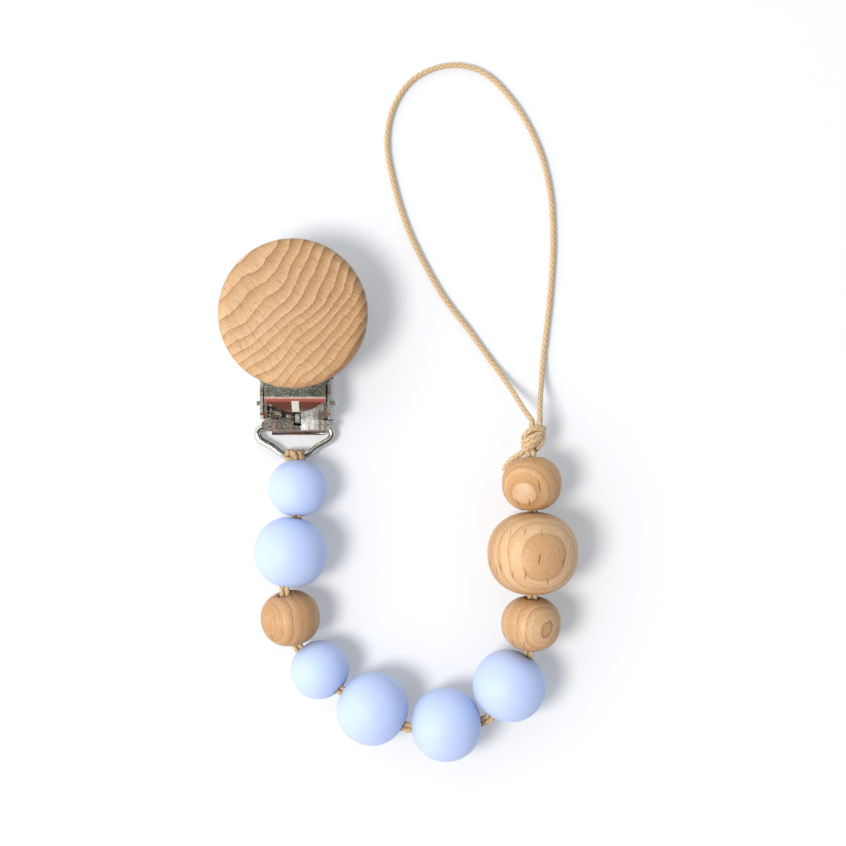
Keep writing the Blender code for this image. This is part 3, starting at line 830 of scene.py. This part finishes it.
def bead_profile(kind):
    """A slightly full ball that closes softly onto a rolled bore.

    power is the ball's fullness, with 2 for a true one, and lip the radius where the roll starts.
    """
    radius, half = BEAD_KINDS[kind]
    power, lip = (2.08, 1.75 * MM) if kind.startswith("silicone") else (2.2, 2.0 * MM)
    full = half / (1.0 - (lip / radius) ** power) ** (1.0 / power)
    outer = []
    for k in range(61):
        height = half * math.cos(math.pi * k / 60)
        outer.append((radius * (1.0 - (abs(height) / full) ** power) ** (1.0 / power), height))
    depth = 0.42 * MM
    roll = []
    for k in range(7):
        angle = math.radians(90 * k / 6)
        reach = BORE_RADIUS + (lip - BORE_RADIUS) * (1.0 - math.cos(angle))
        roll.append((reach, half - depth + depth * math.sin(angle)))
    top = roll[:-1]
    bottom = [(r, -z) for r, z in reversed(top)]
    return top + outer + bottom + [(BORE_RADIUS, 0.0)]


# Each wooden bead: the way to its heart, and the shells' colours over one span of them
WOOD_LOOKS = {
    3: dict(
        towards=(-4.2, -0.6, 4.3), depth=13 * MM, stretch=0.72, span=7.0, wobble=1.9,
        share=0.45, slant=0.06, shade=(0.85, 0.79, 0.74),
        stops=(
            (0.0, BEECH_MID), (0.35, BEECH_WARM), (0.42, BEECH_MID), (1.0, BEECH_WARM),
            (1.1, BEECH_MID), (2.0, BEECH_WARM), (2.15, BEECH_PALE), (3.2, BEECH_MID),
            (3.9, BEECH_WARM), (4.0, BEECH_LINE), (4.15, BEECH_PALE), (5.5, BEECH_MID),
            (6.2, BEECH_WARM), (6.35, BEECH_MID), (7.0, BEECH_MID),
        ),
    ),
    8: dict(
        towards=(3.0, -0.6, 5.2), depth=12 * MM, stretch=0.75, span=6.4, wobble=1.9,
        share=0.55, slant=-0.10, shade=(0.90, 0.89, 0.87),
        stops=(
            (0.0, BEECH_PALE), (0.30, BEECH_WARM), (0.42, BEECH_LINE), (0.55, BEECH_PALE),
            (1.35, BEECH_MID), (1.42, BEECH_WARM), (1.5, BEECH_PALE), (2.7, BEECH_WARM),
            (2.78, BEECH_LINE), (2.88, BEECH_PALE), (4.5, BEECH_WARM), (4.6, BEECH_LINE),
            (4.7, BEECH_MID), (6.4, BEECH_WARM),
        ),
    ),
    9: dict(
        towards=(2.4, 0.0, 8.9), depth=30 * MM, stretch=0.93, span=9.1, wobble=1.7,
        share=0.62, shade=(0.97, 0.97, 0.97),
        stops=(
            (0.0, BEECH_WARM), (1.1, BEECH_WARM), (1.75, (0.40, 0.215, 0.09)), (1.84, BEECH_PALE),
            (3.1, BEECH_PALE), (4.1, BEECH_MID), (4.28, BEECH_LINE), (4.4, BEECH_PALE),
            (5.6, BEECH_PALE), (6.7, BEECH_WARM), (6.82, BEECH_LINE), (6.95, BEECH_PALE),
            (8.9, BEECH_WARM), (9.1, BEECH_DEEP),
        ),
    ),
    10: dict(
        towards=(-1.85, -1.6, 5.5), depth=20 * MM, stretch=1.0, span=7.0, wobble=1.3,
        share=0.80, slant=0.22, shade=(0.94, 0.89, 0.83),
        stops=(
            (0.0, (0.56, 0.40, 0.26)), (0.62, (0.54, 0.37, 0.23)), (0.82, (0.40, 0.20, 0.075)),
            (1.3, BEECH_WARM), (2.0, BEECH_MID), (2.3, BEECH_PALE), (3.2, BEECH_WARM),
            (3.3, BEECH_LINE), (3.4, BEECH_MID), (5.2, BEECH_WARM), (5.3, BEECH_LINE),
            (5.4, BEECH_MID), (7.0, BEECH_WARM),
        ),
    ),
}


def make_beads(silicone_material):
    """Each bead, turned round its own spin axis."""
    for node in sorted(NODES):
        if not node.startswith("bead_"):
            continue
        number, kind = int(node[5:7]), node[8:]
        joint = JOINTS[f"bead_{number:02d}_spin"]
        centre = Vector(joint["pos_m"])
        place = Matrix.Translation(centre) @ along(joint["axis"])
        if kind.startswith("silicone"):
            material, slot = silicone_material, "silicone"
        else:
            radius = BEAD_KINDS[kind][0]
            material = beech_bead(f"beech_bead_{number:02d}", centre, radius, **WOOD_LOOKS[number])
            slot = "beech_dark"
        bm = turned_mesh(bead_profile(kind), BEAD_STEPS, place, closed=True)
        piece = add_piece(f"{node}_turned", bm, material, f"bead_{number:02d}")
        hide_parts(node)


def strand_pair(points, sideways):
    """Two cords side by side along the same route."""
    bm = bmesh.new()
    for side in (-1, 1):
        strand = [place + sideways[k] * side * STRAND_OFFSET for k, place in enumerate(points)]
        add_cord(bm, strand, CORD_RADIUS * 0.98, sides=14, start=side * 0.3 * MM)
    return bm


def make_string(cotton):
    """The doubled cord: one piece over each bend, from the middle of a bead to the next."""
    for k in range(1, 10):
        bend = Vector(JOINTS[f"bend_{k + 1:02d}"]["pos_m"])
        before = Vector(JOINTS[f"bead_{k:02d}_spin"]["pos_m"])
        after = Vector(JOINTS[f"bead_{k + 1:02d}_spin"]["pos_m"])
        entry = bend.lerp(before, 1.6 * MM / (before - bend).length)
        leave = bend.lerp(after, 1.6 * MM / (after - bend).length)
        route = [before, entry.lerp(before, 0.5), entry]
        for step in range(1, 8):
            t = step / 8
            route.append(entry.lerp(bend, t).lerp(bend.lerp(leave, t), t))
        route += [leave, leave.lerp(after, 0.5), after]
        points = []
        for first, second in zip(route, route[1:]):
            count = max(1, round((second - first).length / (0.2 * MM)))
            points += [first.lerp(second, step / count) for step in range(count)]
        points.append(after)
        sideways = []
        for step in range(len(points)):
            first = points[max(0, step - 4)]
            second = points[min(len(points) - 1, step + 4)]
            sideways.append((second - first).cross(Vector((0, 0, 1))).normalized())
        strands = strand_pair(points, sideways)
        piece = add_piece(f"doubled_cord_{k:02d}", strands, cotton, None)
        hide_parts(f"cord_{k:02d}")
        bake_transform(piece)


def make_disc():
    """The clip's wooden face, with a large round on its top edge and a small one below."""
    low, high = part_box("wood_disc")
    centre = (low + high) / 2
    radius, half = (high.x - low.x) / 2, (high.z - low.z) / 2
    top, bottom = 1.9 * MM, 1.0 * MM
    profile = [(0.0, half), (radius * 0.5, half)]
    profile += arc((radius - top, half - top), top, 90, 0, 14)
    profile += arc((radius - bottom, bottom - half), bottom, 0, -90, 8)
    profile += [(radius * 0.5, -half), (0.0, -half)]
    bm = turned_mesh(profile, DISC_STEPS, Matrix.Translation(centre))
    material = beech_disc("beech_disc", centre)
    piece = add_piece("wood_disc_turned", bm, material, "lever")
    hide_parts("wood_disc")


def shade_by_angle(limit):
    """A node group that smooths the shading, but for edges sharper than the limit."""
    tree = bpy.data.node_groups.new("shade_by_angle", "GeometryNodeTree")
    tree.interface.new_socket("Geometry", in_out="INPUT", socket_type="NodeSocketGeometry")
    tree.interface.new_socket("Geometry", in_out="OUTPUT", socket_type="NodeSocketGeometry")
    first = tree.nodes.new("NodeGroupInput")
    last = tree.nodes.new("NodeGroupOutput")
    faces = tree.nodes.new("GeometryNodeSetShadeSmooth")
    edges = tree.nodes.new("GeometryNodeSetShadeSmooth")
    edges.domain = "EDGE"
    edges.inputs["Shade Smooth"].default_value = False
    angle = tree.nodes.new("GeometryNodeInputMeshEdgeAngle")
    compare = tree.nodes.new("FunctionNodeCompare")
    compare.operation = "GREATER_THAN"
    compare.inputs[1].default_value = limit
    tree.links.new(first.outputs[0], faces.inputs["Geometry"])
    tree.links.new(faces.outputs[0], edges.inputs["Geometry"])
    tree.links.new(angle.outputs["Unsigned Angle"], compare.inputs[0])
    tree.links.new(compare.outputs[0], edges.inputs["Selection"])
    tree.links.new(edges.outputs[0], last.inputs[0])
    return tree


def dress_clip():
    """The clip's pieces stay as packed, with their materials, finer edges and even shading."""
    bright = nickel("nickel_bright", 0.12, 0.5)
    satin = nickel("nickel_satin", 0.20, 1.0)
    smoky = milky_plastic("smoky_plastic", (0.15, 0.15, 0.125), (0.22, 0.22, 0.19))
    looks = {
        "jaw_pad": smoky,
        "base_plate": hemmed_nickel("nickel_hemmed"),
        "lever_plate": lever_nickel_painted_reflections("nickel_lever_painted_reflections"),
        "spring_jaw": pressed_nickel_painted_reflection("nickel_pressed_painted_reflection"),
        "pivot_pin": bright,
        "disc_screw_near": satin,
        "disc_screw_far": satin,
    }
    for node, material in looks.items():
        materials = NODES[node].data.materials
        materials.clear()
        materials.append(material)
    shade = shade_by_angle(math.radians(30))
    round_shade = shade_by_angle(math.radians(60))
    for node in ("pivot_pin", "disc_screw_near", "disc_screw_far"):
        NODES[node].modifiers.new("shade", "NODES").node_group = round_shade
    for node in ("base_plate", "lever_plate", "spring_jaw"):
        item = NODES[node]
        flat = item.modifiers.new("planar", "DECIMATE")
        flat.decimate_type = "DISSOLVE"
        flat.angle_limit = math.radians(1.0)
        edge = item.modifiers.new("edges", "BEVEL")
        edge.width = 0.11 * MM
        edge.segments = 2
        edge.limit_method = "ANGLE"
        edge.angle_limit = math.radians(40)
        item.modifiers.new("shade", "NODES").node_group = shade
        weigh = item.modifiers.new("weigh", "WEIGHTED_NORMAL")
        weigh.keep_sharp = True


def make_lip_window(material):
    """The milky insert that shows through the middle of the lever's bent lip."""
    slope = math.radians(34)
    bend_start, bend, top = 1.5 * MM, 1.3 * MM, 8.75 * MM
    first_reach, last_reach, half_width = 0.30 * MM, 2.98 * MM, 0.74 * MM
    crown, clearance, droop = 0.03 * MM, 0.004 * MM, 0.02 * MM
    steps = 8
    knee = Vector((0, bend_start - bend * math.sin(slope), top - bend + bend * math.cos(slope)))
    down = Vector((0, -math.cos(slope), -math.sin(slope)))
    out = Vector((0, -math.sin(slope), math.cos(slope)))
    bm = bmesh.new()
    rows = []
    for k in range(steps + 1):
        share = k / steps
        reach = first_reach + (last_reach - first_reach) * share
        row = []
        for j in range(steps + 1):
            across = j / steps * 2 - 1
            lift = crown * (1.0 - across**8) * (1.0 - (share * 2 - 1) ** 8)
            drop = 0.0 if k < steps else -droop * across * across
            place = knee + down * (reach + drop) + out * (lift + clearance)
            row.append(bm.verts.new(place + Vector((across * half_width, 0, 0))))
        rows.append(row)
    for first, second in zip(rows, rows[1:]):
        for j in range(steps):
            bm.faces.new((first[j], first[j + 1], second[j + 1], second[j]))
    bmesh.ops.recalc_face_normals(bm, faces=bm.faces)
    add_piece("lip_window", bm, material, "lever")


def make_ring():
    """The drawn wire ring: its back lies in the hem, and its bar carries the hitch."""
    low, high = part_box("wire_ring")
    centre_x = (low.x + high.x) / 2
    bar = JOINTS["hitch_swing"]["pos_m"]
    hem = JOINTS["ring_swing"]["pos_m"]
    half = list(RING_OUTLINE)
    outline = half + [(-x, y) for x, y in reversed(half[1:-1])]
    rise = (bar[2] - hem[2]) / (hem[1] - bar[1])
    route = [(centre_x + x * MM, hem[1] + y * MM, hem[2] - y * MM * rise) for x, y in outline]
    points = smooth_route(route, 0.35 * MM, True)
    frames = frames_along(points, True)
    bm = bmesh.new()
    rings = []
    angles = [math.tau * k / WIRE_SIDES for k in range(WIRE_SIDES)]
    for place, (side, up) in zip(points, frames):
        ways = [side * math.cos(angle) + up * math.sin(angle) for angle in angles]
        rings.append([bm.verts.new(place + way * WIRE_RADIUS) for way in ways])
    for ring, following in zip(rings, rings[1:] + rings[:1]):
        bridge(bm, ring, following)
    bmesh.ops.recalc_face_normals(bm, faces=bm.faces)
    piece = add_piece("wire_ring_drawn", bm, drawn_nickel_painted_light("nickel_wire_painted_light"), "ring")
    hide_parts("wire_ring")


def make_hitch(cotton):
    """Four flat turns round the ring's bar, with the two strands that rise to the first bead."""
    bar = Vector(JOINTS["hitch_swing"]["pos_m"])
    start = Vector(JOINTS["bend_01"]["pos_m"])
    bead = Vector(JOINTS["bead_01_spin"]["pos_m"])
    bm = bmesh.new()
    pitch, spacing = 1.04 * MM, 0.16 * MM
    for k, lean in enumerate((0.16 * MM, -0.1 * MM, 0.12 * MM, -0.14 * MM)):
        middle = bar + Vector(((k - 1.5) * pitch, 0, 0))
        turn = []
        for step in range(16):
            angle = math.tau * step / 16
            reach = (1.01 + 0.03 * math.sin(3 * angle + k)) * MM
            across, rise = math.cos(angle), math.sin(angle)
            turn.append(middle + Vector((lean * across, reach * across, reach * rise)))
        add_cord(bm, smooth_route(turn, spacing, True), 0.52 * MM, sides=16, cyclic=True, flat=0.52)
    # The bight that lies across the turns, under the bead
    bight = ((-1.75, -0.35, 1.15), (-1.5, -0.75, 1.55), (-0.6, -0.80, 1.75))
    bight += ((0.6, -0.80, 1.75), (1.5, -0.75, 1.55), (1.8, -0.35, 1.15))
    bight = [bar + Vector(place) * MM for place in bight]
    add_cord(bm, smooth_route(bight, spacing), 0.46 * MM, sides=16)
    for side in (-1, 1):
        offset = Vector((side * STRAND_OFFSET, 0, 0))
        neck = [
            bar + Vector((0.45 + side * 0.62, 0.55, 1.2)) * MM,
            bar + Vector((0.7 + side * 0.62, 0.2, 2.0)) * MM,
            start + offset + Vector((-0.05, 0.25, -0.55)) * MM,
            start + offset + Vector((0, -0.45, 0.0)) * MM,
            start.lerp(bead, 0.35) + offset,
            bead + offset,
        ]
        add_cord(bm, smooth_route(neck, spacing), 0.55 * MM, sides=16)
    piece = add_piece("ring_hitch", bm, cotton, None)
    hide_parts("cord_hitch")
    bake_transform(piece)


def make_knot(cotton):
    """An overhand knot in the doubled cord, with its stem from the last bead."""
    low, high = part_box("cord_knot")
    centre = (low + high) / 2
    end = Vector(JOINTS["loop_bend"]["pos_m"])
    bead = Vector(JOINTS["bead_10_spin"]["pos_m"])
    low_left = centre + Vector((-1.45, -2.6, 0.35)) * MM
    inside = centre + Vector((-1.3, -1.6, 0)) * MM
    stem = [bead, bead.lerp(end, 0.6), end, end.lerp(low_left, 0.5), low_left, inside]
    stem = smooth_route(stem, 0.2 * MM)
    sideways = [Vector((1, 0.15, 0.1)).normalized() for _ in stem]
    piece = add_piece("knot_stem", strand_pair(stem, sideways), cotton, None)
    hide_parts("cord_10")
    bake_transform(piece)

    def route(points):
        return smooth_route([centre + Vector(place) * MM for place in points], 0.15 * MM)

    bm = bmesh.new()
    # Four turns that rise to the right, the top one arching over the rest: the middle's x and y,
    # the reach, the lean in degrees, the arch and the rise, in mm
    turns = (
        (-0.35, 0.42, 2.25, 24, 0.95, 1.25),
        (-0.50, -0.50, 2.20, 29, 0.35, 1.62),
        (-0.60, -1.38, 2.10, 31, 0.10, 1.60),
        (-0.95, -2.20, 1.65, 32, 0.0, 1.25),
    )
    for number, (x, y, reach, lean, arch, rise) in enumerate(turns):
        lean = math.radians(lean)
        onward = Vector((math.cos(lean), math.sin(lean), 0))
        beside = Vector((-math.sin(lean), math.cos(lean), 0))
        wrap = []
        for step in range(24):
            angle = math.tau * step / 24
            slip = 0.42 * math.cos(angle) if angle > math.pi else 0.0
            place = Vector((x, y, 0)) + onward * (reach * math.cos(angle))
            place += beside * (arch * math.sin(angle) ** 2 + slip * 0.5)
            place.z = rise * math.sin(angle)
            wrap.append(centre + place * MM)
        wrap = smooth_route(wrap, 0.15 * MM, True)
        add_cord(bm, wrap, 0.60 * MM, sides=18, cyclic=True, start=number * 0.37 * MM)
    # The loop's two ends come in at the top and run down inside the turns
    left = ((-0.62, 2.95, 0.0), (-0.72, 2.1, 0.1), (-0.8, 1.0, 0.0))
    left += ((-1.0, -0.4, 0.0), (-1.3, -1.8, 0.1), (-1.6, -2.7, 0.2))
    right = ((0.88, 2.95, 0.0), (0.75, 2.1, 0.15), (0.55, 1.0, 0.0))
    right += ((0.2, -0.4, 0.0), (-0.4, -1.8, 0.1), (-0.9, -2.7, 0.2))
    add_cord(bm, route(left), 0.66 * MM, sides=18)
    add_cord(bm, route(right), 0.66 * MM, sides=18, start=0.4 * MM)
    # The strand that turns down on the right and tucks in beside the stem
    under = ((1.55, 0.55, -0.55), (1.65, -0.45, -0.25), (1.25, -1.45, -0.15), (0.65, -2.3, -0.25))
    under += ((0.0, -2.95, -0.45), (-0.7, -3.05, -0.6))
    add_cord(bm, route(under), 0.58 * MM, sides=18, start=0.2 * MM)
    knot = add_piece("overhand_knot", bm, cotton, "loop_end")
    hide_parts("cord_knot")
    return knot


def make_loop(cotton):
    """The free loop, from the knot round to the knot again, and the cut tail."""
    points = smooth_route(LOOP_ROUTE, 0.13 * MM)
    bm = bmesh.new()
    add_cord(bm, points, CORD_RADIUS, sides=20)
    loop = add_piece("loop_braid", bm, cotton, "loop_end")
    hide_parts("loop_cord")

    bm = bmesh.new()
    add_cord(bm, smooth_route(TAIL_ROUTE, 0.13 * MM), CORD_RADIUS, sides=20)
    tail = add_piece("cut_tail", bm, cotton, "string_10")
    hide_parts("cord_tail")

    path = smooth_route(LOOP_ROUTE, 1.0 * MM)


bpy.context.scene.view_settings.view_transform = "Standard"
add_camera()
add_world()
add_floor()
add_area_light("key", **KEY_LIGHT)

COTTON = braided_cotton("waxed_cotton")
KNOT = make_knot(COTTON)
make_loop(COTTON)
make_hitch(COTTON)
make_string(COTTON)
make_beads(silicone("silicone_blue"))
make_disc()
make_ring()
dress_clip()
make_lip_window(milky_plastic("milky_plastic"))
